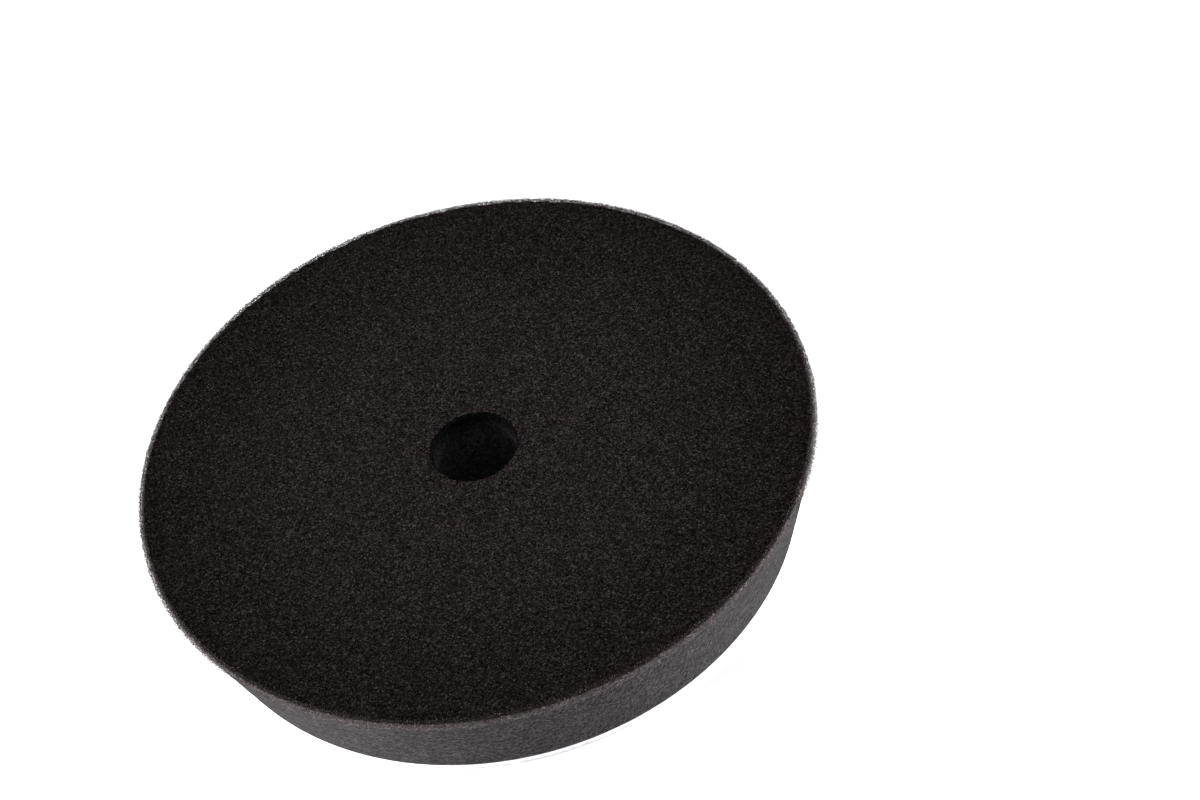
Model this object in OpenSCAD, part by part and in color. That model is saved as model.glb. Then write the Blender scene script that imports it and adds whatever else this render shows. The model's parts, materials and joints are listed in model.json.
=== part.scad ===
// Foam polishing pad with a hook-and-loop backing.
// A disc of fine open-cell foam widens from its back to its working face.
// Its back is laminated to a white loop fabric that grips the hook face of a polisher's plate.
// Origin: centre of the loop face. +Z points from the loop face to the working face.

/* [Foam disc] */
// Widest diameter of the foam, at the working face
face_d = 165; // [155:0.5:180]
// Diameter of the foam's back and of the loop fabric
back_d = 150; // [130:0.5:150]
// Thickness of the foam
foam_t = 26; // [20:0.5:35]
// Diameter of the centre hole, punched through every layer
hole_d = 20.8; // [16:0.2:26]
// Radius of the rim between the wall and the working face
rim_r = 0.8; // [0.3:0.1:2]
// Radius of the hole's lip at the working face
lip_r = 0.5; // [0.2:0.1:1]

/* [Loop fabric] */
// Thickness of the hot-melt film that bonds the fabric to the foam
film_t = 0.1; // [0.05:0.05:0.2]
// Thickness of the fabric's knitted ground
ground_t = 0.4; // [0.3:0.1:0.8]
// Height of the loop pile below the ground
pile_h = 1; // [0.8:0.1:1.5]

/* [Print on the loops] */
// How deep the ink soaks into the pile
ink_t = 0.2; // [0.1:0.05:0.4]
// Width of the wide colour band
band_w = 15; // [10:0.5:18]
// Distance from the axis to the band's inner end
band_start = 22; // [18:0.5:30]
// How much further one corner of the band's slanted inner end lies
band_slant = 5; // [0:0.5:8]
// Offset of the band's centre line from the axis
band_offset = 3; // [0:0.5:4]
// Side of each plain grade square
square_w = 6; // [4:0.5:7]
// Distance from one grade square to the next
square_pitch = 9; // [8:0.5:10]
// Number of grade squares
square_count = 4; // [3:1:5]
// Distance from the axis to the row of squares
square_row = 47; // [40:0.5:52]
// Length of the plain rule below the squares
rule_l = 33; // [20:1:36]
// Thickness of the rule
rule_t = 1.4; // [0.8:0.2:2]
// Distance from the axis to the rule
rule_row = 37; // [30:0.5:38]
// Length of each tick of the tick rows at the edge
tick_l = 3; // [2:0.5:4]
// Number of ticks in each row
tick_count = 5; // [3:1:7]

/* [Hidden] */
$fn = 144;

face_r = face_d / 2;
back_r = back_d / 2;
hole_r = hole_d / 2;

// Heights of the layers, from the loop face up
ground_z = pile_h;
film_z = ground_z + ground_t;
foam_z = film_z + film_t;
face_z = foam_z + foam_t;

// The rim's circle, and the straight wall that leaves the back's corner and touches it
rim_centre = [face_r - rim_r, face_z - rim_r];
wall_foot = [back_r, foam_z];
wall_run = rim_centre - wall_foot;
wall_angle = atan2(wall_run.y, wall_run.x) - asin(rim_r / norm(wall_run));
lip_centre = [hole_r + lip_r, face_z - lip_r];
arc_steps = 8;

tick_w = 0.8;
tick_pitch = 1.6;
tick_row_gap = 6;
tick_row_inset = 11;
tick_row_r = back_r - tick_row_inset;
tick_row_angles = [90, -35];
dash_row_y = -37;
dash_count = 6;
dash_w = 2.2;
dash_h = 1.2;
dash_pitch = 3.6;

// Points of an arc about c, from one angle to the other
function arc(c, r, from, to) =
    [for (i = [0:arc_steps]) let (a = from + (to - from) * i / arc_steps) c + r * [cos(a), sin(a)]];

// Half section of the foam, to the right of the axis
module foam_section() {
    polygon(concat(
        [[hole_r, foam_z], wall_foot],
        arc(rim_centre, rim_r, wall_angle - 90, 90),
        arc(lip_centre, lip_r, 90, 180)
    ));
}

// Flat ring of the fabric's outline, t thick, with its underside at z
module fabric_ring(z, t) {
    rotate_extrude()
        translate([hole_r, z])
            square([back_r - hole_r, t]);
}

// Ink on the loop face, as deep as it soaks in. Outlines are drawn as they read from the loop
// side, with the band to the right, so they are mirrored onto the face.
module ink() {
    mirror([0, 1, 0])
        linear_extrude(ink_t)
            children();
}

// Outline of the colour band, which runs out over the fabric's edge
module band_outline() {
    low = band_offset - band_w / 2;
    high = band_offset + band_w / 2;
    intersection() {
        circle(back_r);
        polygon([[band_start, low], [face_r, low], [face_r, high], [band_start + band_slant, high]]);
    }
}

// A row of plain squares and the rule below it
module grade_row() {
    for (i = [0:square_count - 1])
        translate([(i - (square_count - 1) / 2) * square_pitch, square_row])
            square(square_w, center = true);
    translate([0, rule_row])
        square([rule_l, rule_t], center = true);
}

// A line of short dashes
module dash_row() {
    for (i = [0:dash_count - 1])
        translate([(i - (dash_count - 1) / 2) * dash_pitch, dash_row_y])
            square([dash_w, dash_h], center = true);
}

// Two rows of radial ticks near the fabric's edge
module tick_rows() {
    for (side = [-1, 1], i = [0:tick_count - 1])
        translate([tick_row_r + (i - (tick_count - 1) / 2) * tick_pitch, side * tick_row_gap / 2])
            square([tick_w, tick_l], center = true);
}

// Outlines of everything printed in the dark ink
module mark_outlines() {
    grade_row();
    dash_row();
    for (a = tick_row_angles)
        rotate(a)
            tick_rows();
}

module foam_disc() {
    color([0.11, 0.1, 0.1])
        rotate_extrude()
            foam_section();
}

module adhesive_film() {
    color([0.86, 0.85, 0.8])
        fabric_ring(film_z, film_t);
}

module loop_ground() {
    color([0.93, 0.93, 0.95])
        fabric_ring(ground_z, ground_t);
}

// The pile has the ink let into it
module loop_pile() {
    color([0.96, 0.95, 0.98])
        difference() {
            fabric_ring(0, pile_h);
            ink()
                band_outline();
            ink()
                mark_outlines();
        }
}

module print_band() {
    color([0.87, 0.77, 0.52])
        ink()
            band_outline();
}

module print_marks() {
    color([0.35, 0.33, 0.42])
        ink()
            mark_outlines();
}

foam_disc();
adhesive_film();
loop_ground();
loop_pile();
print_band();
print_marks();
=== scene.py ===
"""Looks of a foam polishing pad: porous black foam with frayed cut edges, on a printed white loop fabric."""

import functools
import json
import math

import bpy
import numpy as np
from mathutils import Matrix, Vector
from mathutils.kdtree import KDTree


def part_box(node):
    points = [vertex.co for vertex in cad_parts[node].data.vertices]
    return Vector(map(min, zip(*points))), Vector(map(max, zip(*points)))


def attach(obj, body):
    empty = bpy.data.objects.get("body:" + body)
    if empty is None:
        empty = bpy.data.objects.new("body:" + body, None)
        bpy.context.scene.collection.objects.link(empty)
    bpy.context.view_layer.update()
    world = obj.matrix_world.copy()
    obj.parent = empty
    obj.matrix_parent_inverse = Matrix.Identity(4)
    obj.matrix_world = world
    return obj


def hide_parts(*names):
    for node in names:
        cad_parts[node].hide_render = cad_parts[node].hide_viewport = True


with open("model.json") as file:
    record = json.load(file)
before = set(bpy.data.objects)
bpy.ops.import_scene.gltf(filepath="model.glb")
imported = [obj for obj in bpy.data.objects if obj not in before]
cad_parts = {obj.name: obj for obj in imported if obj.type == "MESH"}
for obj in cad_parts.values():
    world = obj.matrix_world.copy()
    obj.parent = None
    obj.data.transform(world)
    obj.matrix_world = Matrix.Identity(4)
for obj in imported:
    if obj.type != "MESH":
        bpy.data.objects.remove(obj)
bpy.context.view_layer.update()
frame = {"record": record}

MM = 0.001
TAU = 2 * math.pi

# ---------------------------------------------------------------- sizes, from the frame
FOAM_LOW, FOAM_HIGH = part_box("foam_disc")
FILM_LOW, FILM_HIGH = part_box("adhesive_film")
GROUND_LOW, GROUND_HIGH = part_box("loop_ground")
PILE_LOW, PILE_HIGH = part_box("loop_pile")
BORE_MOUNT = next(m for m in frame["record"]["mounts"] if m["name"] == "centre_bore")

FACE_R = FOAM_HIGH.x
FACE_Z = FOAM_HIGH.z
FOAM_Z = FOAM_LOW.z
BACK_R = PILE_HIGH.x
HOLE_R = BORE_MOUNT["dims"]["r_mm"] * MM
# Radii of the foam's rim and of the hole's lip
RIM_R = 0.8 * MM
LIP_R = 0.5 * MM


# ---------------------------------------------------------------- camera
LENS = 105
SENSOR_WIDTH = 36
VIEW_ELEVATION = math.radians(47.2)
VIEW_ROLL = math.radians(-15.1)
VIEW_DISTANCE = 0.841
# The camera's axis passes this far to the right of and above the face's centre, in the picture plane
AXIS_RIGHT = 0.0303
AXIS_UP = 0.0111


def make_camera():
    data = bpy.data.cameras.new("camera")
    data.lens = LENS
    data.sensor_width = SENSOR_WIDTH
    data.clip_start = 0.05
    data.clip_end = 50
    camera = bpy.data.objects.new("camera", data)
    bpy.context.collection.objects.link(camera)
    turn = Matrix.Rotation(math.pi / 2 - VIEW_ELEVATION, 3, "X") @ Matrix.Rotation(VIEW_ROLL, 3, "Z")
    offset = turn @ Vector((AXIS_RIGHT, AXIS_UP, VIEW_DISTANCE))
    camera.matrix_world = Matrix.LocRotScale(Vector((0, 0, FACE_Z)) + offset, turn, None)
    bpy.context.scene.camera = camera


# ---------------------------------------------------------------- noise, the same on every run
# Primes that scatter whole numbers evenly over 32 bits
PRIME_X, PRIME_Y, PRIME_Z = np.uint32(374761393), np.uint32(668265263), np.uint32(2246822519)
PRIME_SEED = 3266489917


def lattice_random(cells, seed):
    """A number from 0 to 1 for each row of whole-number cells."""
    cell = cells.astype(np.int64).astype(np.uint32)
    mixed = cell[..., 0] * PRIME_X + cell[..., 1] * PRIME_Y + cell[..., 2] * PRIME_Z
    mixed = mixed + np.uint32(seed * PRIME_SEED % 2**32)
    mixed = (mixed ^ (mixed >> np.uint32(15))) * PRIME_Z
    mixed = (mixed ^ (mixed >> np.uint32(13))) * np.uint32(PRIME_SEED)
    mixed = mixed ^ (mixed >> np.uint32(16))
    return mixed.astype(np.float64) / 2**32


def smooth_noise(points, size, seed):
    """Smooth random heights from -1 to 1, with bumps about size across."""
    at = points / size
    base = np.floor(at)
    t = at - base
    t = t * t * (3 - 2 * t)
    total = np.zeros(len(points))
    for corner in np.ndindex(2, 2, 2):
        weight = np.prod(np.where(corner, t, 1 - t), axis=1)
        total += weight * lattice_random(base + np.array(corner), seed)
    return 2 * total - 1


def cell_distance(points, size, seed):
    """Distance to the nearest of scattered cell centres, in cells: 0 in mid-pore and about 1 at its wall."""
    at = points / size
    base = np.floor(at)
    nearest = np.full(len(points), np.inf)
    for step in np.ndindex(3, 3, 3):
        cell = base + np.array(step) - 1
        centre = cell + np.stack([lattice_random(cell, seed + k) for k in range(3)], axis=1)
        nearest = np.minimum(nearest, np.linalg.norm(at - centre, axis=1))
    return nearest


# ---------------------------------------------------------------- points and outlines
def about_axis(radius, angle, height):
    """Points at a radius and an angle about the pad's axis, and at a height."""
    return np.stack([radius * np.cos(angle), radius * np.sin(angle), height + 0 * angle], axis=-1)


def unit(vectors):
    return vectors / np.linalg.norm(vectors, axis=-1)[..., None]


def walk(points, spacing):
    """Points along a polyline, about spacing apart, with its corners kept."""
    out = [points[0]]
    for a, b in zip(points[:-1], points[1:]):
        steps = max(1, round(math.dist(a, b) / spacing))
        for i in range(1, steps + 1):
            out.append((a[0] + (b[0] - a[0]) * i / steps, a[1] + (b[1] - a[1]) * i / steps))
    return out


def arc(centre, radius, start, end, steps):
    angles = [start + (end - start) * i / steps for i in range(steps + 1)]
    return [(centre[0] + radius * math.cos(a), centre[1] + radius * math.sin(a)) for a in angles]


# ---------------------------------------------------------------- meshes
# A ring has this many points beyond FULL_BEYOND, half as many beyond HALF_BEYOND, and a quarter inside it
FULL_RING = 720
FULL_BEYOND = 42 * MM
HALF_BEYOND = 21 * MM
# Angles of the three corners of a thin strut or fibre
TRIANGLE = (0, TAU / 3, 2 * TAU / 3)


def new_object(name, points, faces, materials, smooth=True):
    mesh = bpy.data.meshes.new(name)
    mesh.from_pydata(points, [], faces)
    mesh.update()
    for material in materials:
        mesh.materials.append(material)
    if smooth:
        mesh.shade_smooth()
    obj = bpy.data.objects.new(name, mesh)
    bpy.context.collection.objects.link(obj)
    return obj


def ring_count(radius):
    if radius > FULL_BEYOND:
        return FULL_RING
    return FULL_RING // 2 if radius > HALF_BEYOND else FULL_RING // 4


def ring_angles(count, half_turned=0):
    """Angles of a ring's points. A half-turned ring's points lie between those of the next."""
    return (np.arange(count) + 0.5 * half_turned) * TAU / count


def ring_numbers(counts):
    """Vertex numbers of rings that follow each other, with these many points each."""
    return [list(range(end - count, end)) for count, end in zip(counts, np.cumsum(counts))]


def stitch(low, high):
    """Faces between two closed rings of vertex numbers. One has as many as the other, or twice as many."""
    n, m = len(low), len(high)
    if n == m:
        return [(low[i], low[(i + 1) % n], high[(i + 1) % n], high[i]) for i in range(n)]
    faces = []
    if n > m:
        for i in range(m):
            a, b, c = low[2 * i], low[2 * i + 1], low[(2 * i + 2) % n]
            d, e = high[i], high[(i + 1) % m]
            faces += [(a, b, d), (b, e, d), (b, c, e)]
        return faces
    for i in range(n):
        a, b, c = high[2 * i], high[2 * i + 1], high[(2 * i + 2) % m]
        d, e = low[i], low[(i + 1) % n]
        faces += [(b, a, d), (b, d, e), (c, b, e)]
    return faces


def bundle(name, points, shape, materials, tones, smooth):
    """Many copies of one small closed shape, such as struts or fibres. tones gives each one's material."""
    count, size, _ = points.shape
    faces = (np.arange(count)[:, None, None] * size + np.array(shape)).reshape(-1, 3)
    obj = new_object(name, points.reshape(-1, 3).tolist(), faces.tolist(), materials, smooth)
    obj.data.polygons.foreach_set("material_index", np.repeat(tones, len(shape)).astype(np.int32))
    return obj


# ---------------------------------------------------------------- shader nodes
class Shader:
    """A material's node tree, with one short call for each kind of node. Patterns are in millimetres."""

    def __init__(self, name, roughness, **constants):
        self.material = bpy.data.materials.new(name)
        self.material.use_nodes = True
        self.nodes = self.material.node_tree.nodes
        self.links = self.material.node_tree.links
        self.bsdf = self.nodes["Principled BSDF"]
        self.bsdf.inputs["Roughness"].default_value = roughness
        for socket, value in constants.items():
            self.bsdf.inputs[socket.replace("_", " ")].default_value = value
        where = self.nodes.new("ShaderNodeTexCoord").outputs["Object"]
        self.place = self.vector("MULTIPLY", where, (1 / MM, 1 / MM, 1 / MM))

    def put(self, socket, value):
        if isinstance(value, bpy.types.NodeSocket):
            self.links.new(value, socket)
        else:
            socket.default_value = value

    def vector(self, operation, a, b=None):
        node = self.nodes.new("ShaderNodeVectorMath")
        node.operation = operation
        self.put(node.inputs[0], a)
        if b is not None:
            self.put(node.inputs[1], b)
        return node.outputs["Value" if operation == "LENGTH" else "Vector"]

    def math(self, operation, a, b=None, c=None):
        node = self.nodes.new("ShaderNodeMath")
        node.operation = operation
        for socket, value in zip(node.inputs, (a, b, c)):
            if value is not None:
                self.put(socket, value)
        return node.outputs[0]

    def total(self, values):
        return functools.reduce(lambda a, b: self.math("ADD", a, b), values)

    def blend(self, a, b, share):
        """a and b added up, with this share of a and the rest of b."""
        return self.math("MULTIPLY_ADD", a, share, self.math("MULTIPLY", b, 1 - share))

    def ramp(self, value, low, high, to_low=0.0, to_high=1.0, smooth=True):
        """value moved from low..high to to_low..to_high, and held there."""
        node = self.nodes.new("ShaderNodeMapRange")
        node.interpolation_type = "SMOOTHSTEP" if smooth else "LINEAR"
        node.clamp = True
        for socket, given in zip(node.inputs, (value, low, high, to_low, to_high)):
            self.put(socket, given)
        return node.outputs[0]

    def mix(self, factor, a, b, blend="MIX"):
        node = self.nodes.new("ShaderNodeMix")
        node.data_type = "RGBA"
        node.blend_type = blend
        self.put(node.inputs[0], factor)
        for socket, value in ((node.inputs[6], a), (node.inputs[7], b)):
            self.put(socket, (*value, 1) if isinstance(value, tuple) and len(value) == 3 else value)
        return node.outputs[2]

    def tint(self, colour, shade):
        """colour, made as dark as shade."""
        return self.mix(1.0, colour, shade, "MULTIPLY")

    def noise(self, size, detail=2.0, roughness=0.5):
        node = self.nodes.new("ShaderNodeTexNoise")
        self.put(node.inputs["Vector"], self.place)
        node.inputs["Scale"].default_value = 1 / size
        node.inputs["Detail"].default_value = detail
        node.inputs["Roughness"].default_value = roughness
        return node.outputs["Fac"]

    def cells(self, size, place=None):
        """(distance to a cell's centre, a random number of each cell) of cells about size across."""
        node = self.nodes.new("ShaderNodeTexVoronoi")
        self.put(node.inputs["Vector"], place or self.place)
        node.inputs["Scale"].default_value = 1 / size
        split = self.nodes.new("ShaderNodeSeparateColor")
        self.links.new(node.outputs["Color"], split.inputs[0])
        return node.outputs["Distance"], split.outputs[0]

    def axes(self):
        node = self.nodes.new("ShaderNodeSeparateXYZ")
        self.links.new(self.place, node.inputs[0])
        return node.outputs

    def radius(self):
        """Distance from the pad's axis, in millimetres."""
        return self.vector("LENGTH", self.vector("MULTIPLY", self.place, (1, 1, 0)))

    def colour(self, value):
        self.put(self.bsdf.inputs["Base Color"], value)

    def bump(self, height, depth):
        """height from 0 to 1, as relief depth millimetres deep."""
        node = self.nodes.new("ShaderNodeBump")
        node.inputs["Strength"].default_value = 1
        node.inputs["Distance"].default_value = depth * MM
        self.links.new(height, node.inputs["Height"])
        self.links.new(node.outputs[0], self.bsdf.inputs["Normal"])


# ---------------------------------------------------------------- foam materials
# Open cells of three sizes, and the share of the relief that each size makes
CELL_SHARES = (0.5, 0.3, 0.2)
# Distances from a cell's centre at which its pore ends and its strut is full
PORE_END, STRUT_START = 0.2, 0.75
# How far the logarithm of the tone spreads from cell to cell, and from pore to strut
CHANCE_TONE, STRUT_TONE = 2.0, 1.4

# Sizes of the cells that show in each surface, in millimetres, and the spread of their tones
FACE_CELLS, FACE_SPREAD = (0.4, 0.3, 0.24), 0.75
WALL_CELLS, WALL_SPREAD = (0.7, 0.5, 0.36), 0.52
RIM_CELLS, RIM_SPREAD = (0.55, 0.4, 0.3), 0.6
BORE_CELLS, BORE_SPREAD = (0.8, 0.55, 0.4), 0.35
# Foam rises as it sets, so a cell cut from the side is this many times as tall as it is wide
CELL_RISE = 1.35

FACE_TINT = (1.0, 0.8, 0.76)
WALL_TINT = (1.0, 0.87, 0.96)
# Tint of the painted highlight along the wall's top
HIGHLIGHT_TINT = (1.0, 0.84, 0.86)
RIM_TINT = (1.0, 0.82, 0.8)
BORE_TINT = (1.0, 0.9, 0.95)
# Those few of the face's cells whose random number is this high get a lighter colour: a painted glint
PAINTED_GLINT, GLINT_CELL, GLINT_CHANCE = (0.022, 0.02, 0.019), 0.31, (0.975, 0.99)
# Shades of the face at its middle and towards its rim, and between which radii it darkens, in millimetres
FACE_SHADES, FACE_FADE = (0.005, 0.0034), (35, 79)
# Shade of the wall, and how it varies over patches of this size in millimetres
WALL_SHADE, MOTTLE, MOTTLE_SIZE = 0.0145, (0.9, 1.1), 7
# Shade of the pale band along the wall's top, a painted highlight below the rim, and how far below the face
# that band starts and is full, in millimetres
HIGHLIGHT_SHADE, HIGHLIGHT_FADE, HIGHLIGHT_FULL = 0.05, (3.2, 1.0), 0.8
# Shades of the rim at its inner and its outer side, the pale outer one a painted highlight, and how far
# inside the face's radius they lie
RIM_SHADE_AND_HIGHLIGHT, RIM_FADE = (0.006, 0.08), (0.6, 0.25)
# Shades of the bore deep down and at its lip, and how far below the face they lie: painted light deep down,
# where the hole is in shade, and painted shade at the lip, where the lamps light it
BORE_LIGHT_AND_SHADE, BORE_FADE = (0.018, 0.0014), (10, 1)


def foam_grain(shader, sizes, spread, tall=1.0):
    """(relief, tone) of open cells. The relief is 0 in a pore and 1 on a strut. The tone is 1 in the middle
    of its range, and spread is how much its logarithm varies."""
    place = shader.vector("MULTIPLY", shader.place, (1, 1, 1 / tall))
    struts, chances = [], []
    for share, size in zip(CELL_SHARES, sizes):
        distance, chance = shader.cells(size, place)
        struts.append(shader.ramp(distance, PORE_END, STRUT_START, 0.0, share))
        chances.append(chance)
    relief = shader.total(struts)
    reach = CHANCE_TONE * spread
    luck = shader.math("MULTIPLY_ADD", shader.total(chances), reach, -reach * len(chances) / 2)
    reach = STRUT_TONE * spread
    depth = shader.math("MULTIPLY_ADD", relief, reach, -reach / 2)
    return relief, shader.math("POWER", math.e, shader.math("ADD", luck, depth))


def foam_face_material():
    """The cut face, which darkens towards the rim, with a painted glint in a few cells: a lighter colour."""
    shader = Shader("foam_face", 0.95, Specular_IOR_Level=0.0)
    relief, tone = foam_grain(shader, FACE_CELLS, FACE_SPREAD)
    shade = shader.math("MULTIPLY", tone, shader.ramp(shader.radius(), *FACE_FADE, *FACE_SHADES))
    # Painted glint: a few random cells get a lighter colour
    _, chance = shader.cells(GLINT_CELL)
    painted_glint = shader.ramp(chance, *GLINT_CHANCE)
    shader.colour(shader.mix(painted_glint, shader.tint(FACE_TINT, shade), PAINTED_GLINT))
    shader.bump(relief, 0.1)
    return shader.material


def foam_wall_material():
    """The cut wall, a little mottled, with a paler band below the rim that is a painted highlight."""
    shader = Shader("foam_wall", 0.95, Specular_IOR_Level=0.05, Sheen_Weight=0.06, Sheen_Roughness=0.3)
    relief, tone = foam_grain(shader, WALL_CELLS, WALL_SPREAD, CELL_RISE)
    mottle = shader.ramp(shader.noise(MOTTLE_SIZE), 0.35, 0.65, *MOTTLE)
    shade = shader.math("MULTIPLY", shader.math("MULTIPLY", tone, mottle), WALL_SHADE)
    # Painted highlight: the wall turns paler in a band just below the rim
    start, full = (FACE_Z / MM - depth for depth in HIGHLIGHT_FADE)
    edge = shader.ramp(shader.axes()[2], start, full, 0.0, HIGHLIGHT_FULL)
    painted_highlight = shader.tint(HIGHLIGHT_TINT, shader.math("MULTIPLY", tone, HIGHLIGHT_SHADE))
    shader.colour(shader.mix(edge, shader.tint(WALL_TINT, shade), painted_highlight))
    shader.bump(relief, 0.16)
    return shader.material


def foam_rim_material():
    """The ground rim, where torn cells catch light that grazes them: partly through its sheen, and partly as
    a painted highlight, its colour turning pale towards its outer side.
    """
    shader = Shader("foam_rim", 0.8, Specular_IOR_Level=0.15, Sheen_Weight=0.15, Sheen_Roughness=0.3)
    relief, tone = foam_grain(shader, RIM_CELLS, RIM_SPREAD)
    inner, outer = (FACE_R / MM - inset for inset in RIM_FADE)
    # Painted highlight: the rim's colour turns pale towards its outer side
    shade = shader.math("MULTIPLY", tone, shader.ramp(shader.radius(), inner, outer, *RIM_SHADE_AND_HIGHLIGHT))
    shader.colour(shader.tint(RIM_TINT, shade))
    shader.bump(relief, 0.14)
    return shader.material


def foam_bore_material():
    """The punched hole's wall and the glued back, with painted light and shade: dark at the lip where the
    lamps light it, and lighter deep down and on the back.
    """
    shader = Shader("foam_bore", 1.0, Specular_IOR_Level=0.0)
    relief, tone = foam_grain(shader, BORE_CELLS, BORE_SPREAD)
    deep, lip = (FACE_Z / MM - depth for depth in BORE_FADE)
    # Painted light and shade: the bore is dark at its lip and lighter deep down
    shade = shader.math("MULTIPLY", tone, shader.ramp(shader.axes()[2], deep, lip, *BORE_LIGHT_AND_SHADE))
    shader.colour(shader.tint(BORE_TINT, shade))
    shader.bump(relief, 0.12)
    return shader.material


def plain_fibre(name, colour, roughness=0.8, specular=0.2, sheen=0.0):
    """One of the tones of a bundle of fibres, each far too thin to carry a pattern of its own."""
    shader = Shader(name, roughness, Specular_IOR_Level=specular, Sheen_Weight=sheen)
    shader.nodes.remove(shader.place.node)
    shader.colour((*colour, 1))
    return shader.material


# ---------------------------------------------------------------- foam disc
FACE_STEP = 0.62 * MM
WALL_STEP = 0.75 * MM
BORE_STEP = 0.9 * MM
BACK_STEP = 14 * MM
LIP_STEPS = 2
RIM_STEPS = 3
FOAM_SEED = 4
# How far points stray along the surface, so that its mesh shows no rows
JITTER = 0.2 * MM
# Relief of the cut surface, in millimetres: sizes and depths of its pits, waves and grain
PIT_SIZE, PIT_DEPTH, PIT_MEAN = 1.3, 0.07, 0.55
WAVE_SIZE, WAVELET_SIZE, WAVE_DEPTH = 21, 9, 0.07
GRAIN_SIZE, GRAIN_DEPTH = 0.55, 0.05
# Near a cut edge, within EDGE_REACH, the grain is deeper and the foam worn down by this much
EDGE_GRAIN, EDGE_WEAR, EDGE_REACH = 0.1, 0.05, 0.9 * MM
# Points this near the back stay where they are, against the film
STILL = 0.1 * MM

# The foam's materials, in the order of their slots
FACE, WALL, BORE, RIM = range(4)

RIM_CENTRE = (FACE_R - RIM_R, FACE_Z - RIM_R)
LIP_CENTRE = (HOLE_R + LIP_R, FACE_Z - LIP_R)
WALL_FOOT = (BACK_R, FOAM_Z)
WALL_RUN = math.dist(RIM_CENTRE, WALL_FOOT)
WALL_LEAN = math.atan2(RIM_CENTRE[1] - FOAM_Z, RIM_CENTRE[0] - BACK_R) - math.asin(RIM_R / WALL_RUN)
WALL_NORMAL = WALL_LEAN - math.pi / 2


def foam_section():
    """The foam's half section: up the bore, out over the face and down the wall, without the back."""
    bore = walk([(HOLE_R, FOAM_Z), (HOLE_R, LIP_CENTRE[1])], BORE_STEP)
    lip = arc(LIP_CENTRE, LIP_R, math.pi, math.pi / 2, LIP_STEPS)
    face = walk([lip[-1], (RIM_CENTRE[0], FACE_Z)], FACE_STEP)
    rim = arc(RIM_CENTRE, RIM_R, math.pi / 2, WALL_NORMAL, RIM_STEPS)
    wall = walk([rim[-1], WALL_FOOT], WALL_STEP)
    return bore + lip[1:] + face[1:] + rim[1:] + wall[1:]


def outward(section):
    """Unit normals of a section's points, away from the foam."""
    run = np.gradient(np.array(section), axis=0)
    return unit(np.stack([-run[:, 1], run[:, 0]], axis=1))


def edge_nearness(r, z):
    """1 at the rim or the hole's lip, and 0 a few millimetres away."""
    distance = min(math.dist((r, z), (FACE_R, FACE_Z)), math.dist((r, z), (HOLE_R, FACE_Z)))
    return math.exp(-((distance / EDGE_REACH) ** 2))


def roughen(points, normals, edge):
    """Cut foam: shallow pits, a slight waviness, and a more ragged surface near its cut edges."""
    pits = cell_distance(points, PIT_SIZE * MM, 5) - PIT_MEAN
    waves = smooth_noise(points, WAVE_SIZE * MM, 9) + 0.5 * smooth_noise(points, WAVELET_SIZE * MM, 10)
    grain = smooth_noise(points, GRAIN_SIZE * MM, 11)
    height = PIT_DEPTH * pits + WAVE_DEPTH * waves
    height += (GRAIN_DEPTH + EDGE_GRAIN * edge) * grain
    height -= EDGE_WEAR * edge
    return points + normals * height[:, None] * MM


def foam_ring(r, z, normal, shift, half_turned):
    """(points, normals) of a ring of the foam. shift moves its points round the ring and across it."""
    nr, nz = normal
    angle = ring_angles(len(shift), half_turned) + shift[:, 0] / r
    radius = r + shift[:, 1] * nz * (abs(nz) > 0.5)
    height = z + shift[:, 1] * (abs(nr) > 0.5)
    return about_axis(radius, angle, height), about_axis(nr, angle, nz)


def open_foam_points(section):
    """The foam's points ring by ring, without the back."""
    rng = np.random.default_rng(FOAM_SEED)
    points, normals, edges, moving = [], [], [], []
    last = len(section) - 1
    for k, ((r, z), normal) in enumerate(zip(section, outward(section))):
        count = ring_count(r)
        shift = rng.uniform(-1, 1, (count, 2)) * JITTER * (0 < k < last)
        ring_points, ring_normals = foam_ring(r, z, normal, shift, k % 2)
        points.append(ring_points)
        normals.append(ring_normals)
        edges.append(np.full(count, edge_nearness(r, z)))
        moving.append(np.full(count, float(z > FOAM_Z + STILL)))
    points = np.concatenate(points)
    rough = roughen(points, np.concatenate(normals), np.concatenate(edges))
    return points + (rough - points) * np.concatenate(moving)[:, None]


def foam_region(k, section):
    """Material of the strip above a section's point. The back has the bore's."""
    if k >= len(section) - 1 or section[k][0] < HOLE_R + 0.4 * LIP_R:
        return BORE
    if section[k][1] < RIM_CENTRE[1] - 0.1 * RIM_R:
        return WALL
    return RIM if section[k][0] > RIM_CENTRE[0] - 0.5 * FACE_STEP else FACE


def make_foam(materials):
    section = foam_section()
    back = walk([WALL_FOOT, (HOLE_R, FOAM_Z)], BACK_STEP)[1:-1]
    back_points = [about_axis(r, ring_angles(ring_count(r)), z) for r, z in back]
    points = np.concatenate([open_foam_points(section), *back_points])
    rings = ring_numbers([ring_count(r) for r, _ in section + back])
    faces, regions = [], []
    for k, (low, high) in enumerate(zip(rings, rings[1:] + rings[:1])):
        added = stitch(low, high)
        faces += added
        regions += [foam_region(k, section)] * len(added)
    foam = new_object("foam", points.tolist(), [f[::-1] for f in faces], materials)
    foam.data.polygons.foreach_set("material_index", regions)
    return foam


# ---------------------------------------------------------------- loose struts at the foam's cut edges
# A strut's root lies this deep in the foam, and its middle bows sideways by this share of its length
ROOT_DEPTH = 0.12 * MM
STRUT_BOW = 0.18
# Loose struts on each of the face, the wall and the face's edge
STRUTS = 9000

# The rim's lattice of torn cells. It is made in parts, each a piece of its own
RIM_PARTS = 6
PART_JOINTS = 12500
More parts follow.
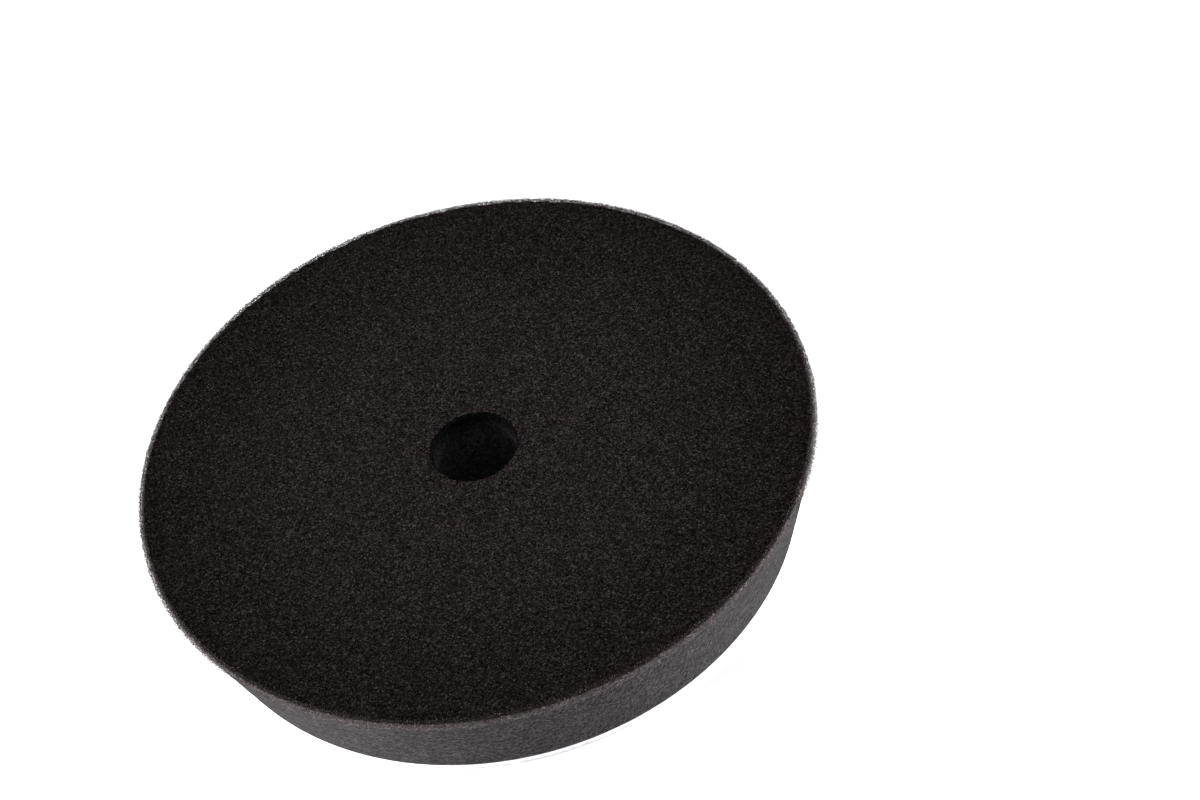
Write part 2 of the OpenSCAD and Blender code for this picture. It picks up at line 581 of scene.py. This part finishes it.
# Directions of the joints from the rim's centre, in degrees: 0 is outwards and 90 up
LATTICE_ANGLES = (-8, 98)
# Every joint lies in an even layer outside the rim, and a tail thins out beyond it
LAYER = (-0.05 * MM, 0.5 * MM)
TAIL, TAIL_END = 0.2 * MM, 0.8 * MM
# How much of that distance counts outwards and how much upwards
LATTICE_OUT, LATTICE_UP = 0.8, 1.3
LATTICE_LINKS, LATTICE_REACH = 3, 0.4 * MM
LATTICE_BOW = 0.06
LATTICE_THICKNESS = (0.08, 0.13)
# Struts above this direction stand over the face, and this share of them is dark
OVER_FACE = math.radians(48)
DARK_SHARE = 0.8


def spindles(name, start, end, bend, thickness, materials, tones):
    """Thin tapered struts from start to end, bowed sideways by bend."""
    along = unit(end - start)
    side = unit(np.cross(along, [0.36, 0.48, 0.8]))
    other = np.cross(along, side)
    middle = (start + end) / 2 + bend
    half = thickness[:, None]
    corners = [middle + half * (side * math.cos(t) + other * math.sin(t)) for t in TRIANGLE]
    points = np.stack([start, *corners, end], axis=1)
    shape = [(0, 2, 1), (0, 3, 2), (0, 1, 3), (4, 1, 2), (4, 2, 3), (4, 3, 1)]
    return bundle(name, points, shape, materials, tones, False)


def on_section(distance):
    """(radius, z, normal's angle) on the foam's outline at a distance from the rim: negative on the face."""
    half = RIM_R * (math.pi / 2 - WALL_NORMAL) / 2
    on_face, on_wall = distance < -half, distance > half
    turn = math.pi / 2 - (distance + half) / RIM_R
    angle = np.where(on_face, math.pi / 2, np.where(on_wall, WALL_NORMAL, turn))
    across = np.where(on_face, distance + half, 0)
    down = np.where(on_wall, distance - half, 0)
    radius = RIM_CENTRE[0] + RIM_R * np.cos(angle) + across - down * math.cos(WALL_LEAN)
    z = RIM_CENTRE[1] + RIM_R * np.sin(angle) - down * math.sin(WALL_LEAN)
    return radius, z, angle


def make_struts(name, count, distance, length, thickness, lift, materials, weights, seed):
    """Struts that stand out of the foam at these distances from the rim. lift is how upright they stand."""
    rng = np.random.default_rng(seed)
    turn = rng.uniform(0, TAU, count)
    radius, z, angle = on_section(distance(rng, count))
    normal = about_axis(np.cos(angle), turn, np.sin(angle))
    root = about_axis(radius, turn, z)
    long = rng.uniform(*length, count)[:, None] * MM
    way = unit(normal * lift + unit(rng.normal(size=(count, 3))))
    way = np.where((way * normal).sum(1, keepdims=True) < -0.1, -way, way)
    start = root - normal * ROOT_DEPTH
    bend = unit(rng.normal(size=(count, 3))) * long * STRUT_BOW
    thick = rng.uniform(*thickness, count) * MM / 2
    tones = rng.choice(len(materials), count, p=weights)
    return spindles(name, start, start + way * long, bend, thick, materials, tones)


def over_face(rng, count):
    """Distances that spread points evenly over the face."""
    inner, outer = HOLE_R + 0.4 * MM, FACE_R - 1 * MM
    return np.sqrt(rng.uniform(inner**2, outer**2, count)) - FACE_R


def over_edge(rng, count):
    """Distances on the face that crowd towards its rim."""
    return -0.8 * MM - rng.exponential(0.8 * MM, count)


def over_wall(rng, count):
    return rng.uniform(0.8 * MM, WALL_RUN - 0.3 * MM, count)


def neighbours(points, most, reach):
    """Pairs of points that lie near each other, up to most for each point."""
    tree = KDTree(len(points))
    for k, point in enumerate(points):
        tree.insert(point, k)
    tree.balance()
    pairs = set()
    for k, point in enumerate(points):
        for _, other, distance in tree.find_n(point, most + 1):
            if other != k and distance < reach:
                pairs.add((min(k, other), max(k, other)))
    return np.array(sorted(pairs))


def rim_lattice(part, materials, weights, seed):
    """Torn open cells along one part of the rim: struts between scattered joints, which thin out away from
    the foam. Most of those that stand over the face have the first material."""
    rng = np.random.default_rng(seed)
    turn = rng.uniform(part * TAU / RIM_PARTS, (part + 1) * TAU / RIM_PARTS, PART_JOINTS)
    angle = np.radians(rng.uniform(*LATTICE_ANGLES, PART_JOINTS))
    out = rng.uniform(*LAYER, PART_JOINTS) + rng.exponential(TAIL, PART_JOINTS).clip(0, TAIL_END)
    radius = RIM_CENTRE[0] + (RIM_R + out * LATTICE_OUT) * np.cos(angle)
    height = RIM_CENTRE[1] + (RIM_R + out * LATTICE_UP) * np.sin(angle)
    joints = about_axis(radius, turn, height)
    pairs = neighbours(joints, LATTICE_LINKS, LATTICE_REACH)
    count = len(pairs)
    bend = unit(rng.normal(size=(count, 3))) * rng.uniform(0, LATTICE_BOW, count)[:, None] * MM
    thick = rng.uniform(*LATTICE_THICKNESS, count) * MM / 2
    dark = (angle[pairs].mean(axis=1) > OVER_FACE) & (rng.random(count) < DARK_SHARE)
    tones = np.where(dark, 0, rng.choice(len(materials), count, p=weights))
    start, end = joints[pairs[:, 0]], joints[pairs[:, 1]]
    return spindles(f"rim_struts_{part + 1}", start, end, bend, thick, materials, tones)


def make_foam_struts():
    dull = plain_fibre("strut_dull", (0.006, 0.005, 0.005), 0.9, 0.05)
    dusty = plain_fibre("strut_dusty", (0.02, 0.0175, 0.018), 0.9, 0.05)
    dark = plain_fibre("strut_dark", (0.008, 0.0065, 0.0065), 0.9, 0.05)
    brown = plain_fibre("strut_brown", (0.055, 0.043, 0.042), 0.6, 0.3)
    rosy = plain_fibre("strut_rosy", (0.11, 0.088, 0.088), 0.6, 0.3)
    rim = [rim_lattice(k, [dark, brown, rosy], (0.35, 0.43, 0.22), 21 + k) for k in range(RIM_PARTS)]
    face = make_struts(
        "face_struts", STRUTS, over_face, length=(0.2, 0.4), thickness=(0.04, 0.07), lift=0.3,
        materials=[dull, dusty], weights=(0.8, 0.2), seed=31)
    wall = make_struts(
        "wall_struts", STRUTS, over_wall, length=(0.15, 0.3), thickness=(0.05, 0.08), lift=0.2,
        materials=[dull, dusty], weights=(0.9, 0.1), seed=32)
    edge = make_struts(
        "edge_struts", STRUTS, over_edge, length=(0.2, 0.45), thickness=(0.05, 0.08), lift=0.5,
        materials=[dull, dusty, brown], weights=(0.4, 0.3, 0.3), seed=33)
    return [*rim, face, wall, edge]


# ---------------------------------------------------------------- loop fabric
PILE_STEP = 0.55 * MM
# How far the cut edges of the film, the ground and the pile fray
FILM_FRAY, GROUND_FRAY, PILE_FRAY = 0.12 * MM, 0.2 * MM, 0.3 * MM
FRAY_SIZE = 0.9 * MM
# The pile's tufts: their spacing across and along the rows, and their depths
TUFT_ACROSS, TUFT_ALONG = 1.1 * MM, 0.9 * MM
ROW_DEPTH, TUFT_DEPTH, PILE_RISE = 0.05, 0.06, 0.2 * MM
# Points along each fibre
FIBRE_POINTS = 5
# Fringe fibres: how their lean and curl spread, the range of their rise, and the gamma law of their lengths
FRINGE_LEAN, FRINGE_CURL, FRINGE_RISE = 0.9, 0.5, (-0.5, 0.35)
FRINGE_LENGTHS, FRINGE_LIMITS = (2.2, 0.4), (0.2, 2.6)
# They start this far inside the edge
FRINGE_ROOT = 0.15 * MM
# The lowest that a fibre's middle line may lie above the loop face: at the fringes, and in the small loops
FRINGE_CLEAR, LOOP_CLEAR = 0.04 * MM, 0.05 * MM
LOOP_SPAN = (0.45, 0.9)
LOOP_DROP = (0.06, 0.16)


def make_layer(name, low, high, step, frayed, relief, material, seed):
    """A flat ring of the fabric between two heights, with a frayed edge and relief on its underside."""
    rng = np.random.default_rng(seed)
    middle = (low + high) / 2
    under_side = [(r, low, 1) for r, _ in walk([(HOLE_R, 0), (BACK_R, 0)], step)]
    upper_side = [(r, high, 0) for r, _ in walk([(BACK_R, 0), (HOLE_R, 0)], BACK_STEP)]
    outline = [(HOLE_R, middle, 0), *under_side, (BACK_R, middle, 0), *upper_side]
    points, under = [], []
    for k, (r, z, moves) in enumerate(outline):
        count = ring_count(r)
        angle = ring_angles(count, (k % 2) * moves)
        shift = rng.uniform(-0.25, 0.25, count) * step * moves * (HOLE_R < r < BACK_R)
        ragged = smooth_noise(about_axis(r, angle, z), FRAY_SIZE, seed)
        at_edge = (r >= BACK_R) * 1.0 - (r <= HOLE_R) * 1.0
        # The middle of a cut edge stands out furthest
        radius = r + shift + at_edge * frayed * (ragged - 0.3 + 0.5 * (z == middle))
        points.append(about_axis(radius, angle, z))
        under.append(np.full(count, float(moves)))
    points, under = np.concatenate(points), np.concatenate(under)
    points[:, 2] += under * relief(points)
    rings = ring_numbers([ring_count(r) for r, _, _ in outline])
    faces = []
    for low_ring, high_ring in zip(rings, rings[1:] + rings[:1]):
        faces += stitch(low_ring, high_ring)
    return new_object(name, points.tolist(), [f[::-1] for f in faces], [material])


def pile_relief(points):
    """The brushed pile's underside: soft tufts in rows, about a millimetre apart."""
    rows = np.cos(points[:, 0] / TUFT_ACROSS * TAU) * np.cos(points[:, 1] / TUFT_ALONG * TAU)
    tufts = smooth_noise(points, 0.8 * MM, 31) + 0.6 * smooth_noise(points, 2.7 * MM, 32)
    return PILE_RISE + MM * (ROW_DEPTH * rows + TUFT_DEPTH * tufts)


def no_relief(points):
    return 0


def tubes(name, paths, thickness, materials, tones):
    """Round fibres along paths, an array of fibre x point x 3, thickness across."""
    _, length, _ = paths.shape
    along = unit(np.gradient(paths, axis=1))
    side = unit(np.cross(along, [0.28, 0.6, 0.75]))
    other = np.cross(along, side)
    taper = np.ones(length)
    taper[[0, -1]] = 0.5
    half = thickness[:, None, None] / 2 * taper[None, :, None]
    corners = [paths + half * (side * math.cos(t) + other * math.sin(t)) for t in TRIANGLE]
    points = np.stack(corners, axis=2).reshape(len(paths), -1, 3)
    shape = [(0, 2, 1), (3 * length - 3, 3 * length - 2, 3 * length - 1)]
    for j in range(length - 1):
        for c in range(3):
            a, b = 3 * j + c, 3 * j + (c + 1) % 3
            shape += [(a, b, b + 3), (a, b + 3, a + 3)]
    return bundle(name, points, shape, materials, tones, True)


def fringe(name, radius, outward_way, count, reach, materials, seed):
    """Fibres that stray out of the fabric's cut edge, all round."""
    rng = np.random.default_rng(seed)
    turn = rng.uniform(0, TAU, count)[:, None]
    lean = rng.normal(0, FRINGE_LEAN, count)[:, None]
    long = reach * rng.gamma(*FRINGE_LENGTHS, count).clip(*FRINGE_LIMITS)[:, None]
    root_z = rng.uniform(PILE_LOW.z + 0.25 * MM, GROUND_LOW.z, count)[:, None]
    rise = rng.uniform(*FRINGE_RISE, count)[:, None]
    curl = rng.normal(0, FRINGE_CURL, count)[:, None]
    t = np.linspace(0, 1, FIBRE_POINTS)[None, :]
    out = long * np.sin(t * 1.2) - FRINGE_ROOT
    across = long * (lean * t * 0.5 + curl * t * t * 0.6)
    z = (root_z + long * rise * t * t).clip(PILE_LOW.z + FRINGE_CLEAR, None)
    paths = about_axis(radius + outward_way * out, turn + across / radius, z)
    thickness = rng.uniform(0.035, 0.06, count) * MM
    return tubes(name, paths, thickness, materials, rng.integers(0, len(materials), count))


def make_loops(name, count, materials, seed):
    """Small loops of yarn that stand out of the pile all over its underside."""
    rng = np.random.default_rng(seed)
    inner, outer = HOLE_R + 0.3 * MM, BACK_R - 0.2 * MM
    radius = np.sqrt(rng.uniform(inner**2, outer**2, count))
    foot = about_axis(radius, rng.uniform(0, TAU, count), PILE_LOW.z)
    foot[:, 2] += pile_relief(foot) + 0.04 * MM
    way = rng.normal(0, 0.7, count)[:, None]
    span = rng.uniform(*LOOP_SPAN, count)[:, None] * MM
    drop = rng.uniform(*LOOP_DROP, count)[:, None] * MM
    t = np.linspace(0, 1, FIBRE_POINTS)[None, :]
    run = (t - 0.5) * span
    bow = np.sin(t * math.pi) * rng.normal(0, 0.15, count)[:, None] * MM
    x = foot[:, 0, None] + run * np.cos(way) - bow * np.sin(way)
    y = foot[:, 1, None] + run * np.sin(way) + bow * np.cos(way)
    z = foot[:, 2, None] - np.sin(t * math.pi) * drop
    paths = np.stack([x, y, z.clip(PILE_LOW.z + LOOP_CLEAR, None)], axis=2)
    thickness = rng.uniform(0.05, 0.08, count) * MM
    return tubes(name, paths, thickness, materials, rng.integers(0, len(materials), count))


# ---------------------------------------------------------------- fabric and ink materials
# The knit's wales and courses, in millimetres apart
WALE, COURSE = 0.6, 0.45


def white_fibres():
    return [
        plain_fibre("fibre_white", (0.82, 0.8, 0.86), sheen=0.3),
        plain_fibre("fibre_shade", (0.62, 0.6, 0.67), sheen=0.3),
    ]


def pile_material():
    """Brushed yarn: fine fuzz over soft tufts."""
    shader = Shader("loop_yarn", 0.9, Specular_IOR_Level=0.2, Sheen_Weight=0.3, Sheen_Roughness=0.4)
    fuzz = shader.noise(0.28, 4, 0.7)
    blend = shader.blend(shader.noise(1.2), fuzz, 0.4)
    shader.colour(shader.mix(shader.ramp(blend, 0.3, 0.7), (0.6, 0.57, 0.65), (0.86, 0.84, 0.9)))
    shader.bump(fuzz, 0.15)
    return shader.material


def knit_material():
    """Warp knit: stitches in wales and courses, with uneven yarn."""
    shader = Shader("ground_knit", 0.9, Specular_IOR_Level=0.2, Sheen_Weight=0.2)
    x, y, _ = shader.axes()
    wale = shader.math("SINE", shader.math("MULTIPLY", x, TAU / WALE))
    course = shader.math("SINE", shader.math("MULTIPLY", y, TAU / COURSE))
    relief = shader.ramp(shader.math("MULTIPLY", wale, course), -1, 1, 0, 1, smooth=False)
    blend = shader.blend(relief, shader.noise(0.3, 3), 0.5)
    shader.colour(shader.mix(blend, (0.6, 0.58, 0.64), (0.84, 0.83, 0.87)))
    shader.bump(relief, 0.1)
    return shader.material


def film_material():
    """Set glue, clouded and slightly lumpy."""
    shader = Shader("hot_melt", 0.45, Specular_IOR_Level=0.4)
    shader.colour(shader.mix(shader.noise(1.5, 3), (0.42, 0.4, 0.36), (0.66, 0.64, 0.6)))
    shader.bump(shader.noise(0.6), 0.05)
    return shader.material


def ink_material(name, dark, light):
    """Ink on brushed yarn, which takes it unevenly."""
    shader = Shader(name, 0.85, Specular_IOR_Level=0.2, Sheen_Weight=0.15)
    fuzz = shader.noise(0.3, 4, 0.7)
    blend = shader.blend(shader.noise(0.9), fuzz, 0.5)
    shader.colour(shader.mix(shader.ramp(blend, 0.35, 0.65), dark, light))
    shader.bump(fuzz, 0.12)
    return shader.material


# ---------------------------------------------------------------- print on the loops
# Sizes on the loop face, read from the loop side with the band to the right
BAND_SLANT = 5 * MM
BAND_INSET = 0.25 * MM
SQUARE, SQUARE_PITCH, SQUARES, SQUARE_ROW = 6 * MM, 9 * MM, 4, 47 * MM
RULE, RULE_ROW = (33 * MM, 1.4 * MM), 37 * MM
DASH, DASH_PITCH, DASHES, DASH_ROW = (2.2 * MM, 1.2 * MM), 3.6 * MM, 6, -37 * MM
TICK, TICK_PITCH, TICKS = (0.8 * MM, 3 * MM), 1.6 * MM, 5
TICK_ROW, TICK_GAP, TICK_ANGLES = 64 * MM, 6 * MM, (90, -35)
# How far the ink lies outside the pile's surface, how deep it goes, and the spacing of its points
INK_PROUD = 0.08 * MM
INK_DEPTH = 0.25 * MM
INK_STEP = 0.4 * MM
# How far the print's outline wavers, over what distance, and how far it keeps above the loop face
INK_WAVER, INK_WAVER_SIZE = 0.12 * MM, 0.5 * MM
INK_CLEAR = 0.02 * MM


def rectangle(centre, size, angle=0.0):
    """(left ends, right ends) of a rectangle's rows, turned about the axis by angle in degrees."""
    c, s = math.cos(math.radians(angle)), math.sin(math.radians(angle))
    (x, y), (w, h) = centre, size
    corners = [(x + i * w / 2, y + j * h / 2) for i in (-1, 1) for j in (-1, 1)]
    turned = [(c * px - s * py, s * px + c * py) for px, py in corners]
    rows = 2 + int(h / INK_STEP)
    return np.linspace(turned[0], turned[1], rows), np.linspace(turned[2], turned[3], rows)


def spread(count, pitch):
    return [(i - (count - 1) / 2) * pitch for i in range(count)]


def band_rows():
    """The band's rows from its slanted inner end to the fabric's round edge."""
    corner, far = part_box("print_band")
    y = np.linspace(-far.y, -corner.y, 2 + int((far.y - corner.y) / INK_STEP))
    share = (y - y[0]) / (y[-1] - y[0])
    left = np.stack([corner.x + BAND_SLANT * share, y], axis=1)
    right = np.stack([np.sqrt((BACK_R - BAND_INSET) ** 2 - y * y), y], axis=1)
    return left, right


def mark_rows():
    """Rows of the squares, the rule, the dashes and the ticks."""
    marks = [rectangle((x, SQUARE_ROW), (SQUARE, SQUARE)) for x in spread(SQUARES, SQUARE_PITCH)]
    marks.append(rectangle((0, RULE_ROW), RULE))
    marks += [rectangle((x, DASH_ROW), DASH) for x in spread(DASHES, DASH_PITCH)]
    for angle in TICK_ANGLES:
        for y in (-TICK_GAP / 2, TICK_GAP / 2):
            marks += [rectangle((TICK_ROW + x, y), TICK, angle) for x in spread(TICKS, TICK_PITCH)]
    return marks


def print_slab(left, right, seed):
    """(points, faces) of one printed shape as a thin slab that follows the tufts it is printed on."""
    rows, columns = len(left), 2 + int(np.linalg.norm(right - left, axis=1).max() / INK_STEP)
    t = np.linspace(0, 1, columns)[None, :, None]
    grid = left[:, None] * (1 - t) + right[:, None] * t
    flat = grid.reshape(-1, 2) * [1, -1]
    low = np.column_stack([flat, np.full(len(flat), PILE_LOW.z)])
    waver = np.stack([smooth_noise(low, INK_WAVER_SIZE, seed + k) for k in range(2)], axis=1)
    low[:, :2] += waver * INK_WAVER
    low[:, 2] = (low[:, 2] + pile_relief(low) - INK_PROUD).clip(PILE_LOW.z + INK_CLEAR, None)
    high = low + [0, 0, INK_DEPTH]
    n = rows * columns
    at = np.arange(n).reshape(rows, columns)
    under = np.stack([at[:-1, :-1], at[:-1, 1:], at[1:, 1:], at[1:, :-1]], axis=-1).reshape(-1, 4)
    rim = np.concatenate([at[0, :], at[1:, -1], at[-1, -2::-1], at[-2:0:-1, 0]])
    following = np.roll(rim, -1)
    sides = np.stack([rim, rim + n, following + n, following], axis=1)
    return np.concatenate([low, high]), np.concatenate([under, under[:, ::-1] + n, sides])


def make_print(name, outlines, material, seed):
    points, faces, count = [], [], 0
    for left, right in outlines:
        slab_points, slab_faces = print_slab(left, right, seed)
        points.append(slab_points)
        faces.append(slab_faces + count)
        count += len(slab_points)
    return new_object(name, np.concatenate(points).tolist(), np.concatenate(faces).tolist(), [material])


# ---------------------------------------------------------------- studio
FLOOR_HALF = 0.65
FLOOR_Z = -0.1 * MM
FLOOR_TONE = 0.72
# Azimuth 0 is on +X and 270 on the camera's side
SIDE_ELEVATION, SIDE_DISTANCE, SIDE_SIZE = 12, 1.3, (0.9, 0.5)
LEFT_AZIMUTH, LEFT_POWER = 182, 66
RIGHT_AZIMUTH, RIGHT_POWER = 358, 60
OVERHEAD_AZIMUTH, OVERHEAD_ELEVATION, OVERHEAD_DISTANCE = 80, 75, 1.6
OVERHEAD_SIZE, OVERHEAD_POWER = (1.6, 1.6), 10


def make_floor():
    shader = Shader("floor", 0.9, Specular_IOR_Level=0.2)
    shader.colour((FLOOR_TONE, FLOOR_TONE, FLOOR_TONE, 1))
    half = FLOOR_HALF
    corners = [(-half, -half, FLOOR_Z), (half, -half, FLOOR_Z), (half, half, FLOOR_Z), (-half, half, FLOOR_Z)]
    new_object("floor", corners, [(0, 1, 2, 3)], [shader.material], False)


def softbox(name, azimuth, elevation, distance, size, power):
    """An area light aimed at the pad."""
    data = bpy.data.lights.new(name, "AREA")
    data.shape = "RECTANGLE"
    data.size, data.size_y = size
    data.energy = power
    a, e = math.radians(azimuth), math.radians(elevation)
    back = Vector((math.cos(a) * math.cos(e), math.sin(a) * math.cos(e), math.sin(e)))
    light = bpy.data.objects.new(name, data)
    light.location = back * distance
    light.rotation_mode = "QUATERNION"
    light.rotation_quaternion = back.to_track_quat("Z", "Y")
    light.visible_camera = False
    bpy.context.collection.objects.link(light)


def make_lights():
    world = bpy.data.worlds.new("studio")
    world.use_nodes = True
    world.node_tree.nodes["Background"].inputs[0].default_value = (1, 1, 1, 1)
    world.node_tree.nodes["Background"].inputs[1].default_value = 1.0
    bpy.context.scene.world = world
    softbox(
        "overhead", OVERHEAD_AZIMUTH, OVERHEAD_ELEVATION, OVERHEAD_DISTANCE, OVERHEAD_SIZE, OVERHEAD_POWER)
    softbox("left", LEFT_AZIMUTH, SIDE_ELEVATION, SIDE_DISTANCE, SIDE_SIZE, LEFT_POWER)
    softbox("right", RIGHT_AZIMUTH, SIDE_ELEVATION, SIDE_DISTANCE, SIDE_SIZE, RIGHT_POWER)
    bpy.context.scene.view_settings.view_transform = "Standard"


# ---------------------------------------------------------------- the pad
make_camera()
make_floor()
make_lights()

foam = make_foam([foam_face_material(), foam_wall_material(), foam_bore_material(), foam_rim_material()])
struts = make_foam_struts()
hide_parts("foam_disc")
for piece in [foam, *struts]:
    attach(piece, "root")

film = make_layer(
    "glue_film", FILM_LOW.z, FILM_HIGH.z, BACK_STEP, FILM_FRAY, no_relief, film_material(), seed=41)
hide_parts("adhesive_film")
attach(film, "root")

ground = make_layer(
    "knit_ground", GROUND_LOW.z, GROUND_HIGH.z, BACK_STEP, GROUND_FRAY, no_relief, knit_material(), seed=42)
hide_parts("loop_ground")
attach(ground, "root")

pile = make_layer(
    "loop_pile_mass", PILE_LOW.z, PILE_HIGH.z, PILE_STEP, PILE_FRAY, pile_relief, pile_material(), seed=43)
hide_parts("loop_pile")
whites = white_fibres()
edge_fringe = fringe("edge_fringe", BACK_R, 1, 3000, 0.4 * MM, whites, seed=51)
hole_fringe = fringe("hole_fringe", HOLE_R, -1, 420, 0.5 * MM, whites, seed=52)
loops = make_loops("surface_loops", 6500, whites, seed=53)
for piece in (pile, edge_fringe, hole_fringe, loops):
    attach(piece, "root")

gold_ink = ink_material("gold_ink", dark=(0.52, 0.37, 0.13), light=(0.8, 0.66, 0.36))
grey_ink = ink_material("grey_ink", dark=(0.08, 0.075, 0.11), light=(0.27, 0.25, 0.33))
gold = make_print("gold_band", [band_rows()], gold_ink, seed=61)
grey = make_print("grey_marks", mark_rows(), grey_ink, seed=63)
for piece, node, slot in ((gold, "print_band", "gold_ink"), (grey, "print_marks", "grey_ink")):
    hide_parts(node)
    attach(piece, "root")
